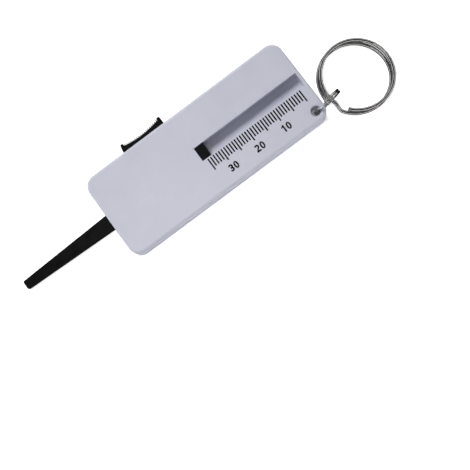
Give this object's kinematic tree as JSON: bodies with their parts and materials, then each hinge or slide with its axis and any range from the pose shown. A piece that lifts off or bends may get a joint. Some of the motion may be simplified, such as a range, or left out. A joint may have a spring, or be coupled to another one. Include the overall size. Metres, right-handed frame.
{
  "type": "tire tread depth gauge",
  "caption": "Flat sliding tread depth gauge: white two-part casing with a millimetre window scale, black probe with thumb tab, and a split key ring on a small link.",
  "frame": {"origin": "middle of the casing's flat back face", "axes": "+X along the casing towards the key ring, +Y across it towards the thumb tab, +Z out of the printed face"},
  "size_m": [0.1347, 0.0383, 0.0114],
  "materials": {
    "white_plastic": "satin moulded ABS",
    "black_plastic": "fine moulded grain",
    "plated_wire": "bright nickel plate"
  },
  "bodies": {
    "casing": {"front_cover": "white_plastic", "rear_shell": "white_plastic"},
    "slider": {"probe_slider": "black_plastic"},
    "link": {"link_ring": "plated_wire"},
    "ring": {"key_ring": "plated_wire"}
  },
  "joints": [
    {"name": "probe_slide", "type": "slide", "parent": "casing", "child": "slider", "axis": [1, 0, 0], "range_m": [0, 0.0355]},
    {"name": "link_swing", "type": "hinge", "parent": "casing", "child": "link", "pos_m": [0.03407, -0.01133, 0.0023], "axis": [0, 0, 1], "range_deg": [-107, 3]},
    {"name": "ring_fold", "type": "hinge", "parent": "link", "child": "ring", "pos_m": [0.0401, -0.01045, -0.00025], "axis": [0.1444, -0.9895, 0], "range_deg": [-134, 86]}
  ]
}
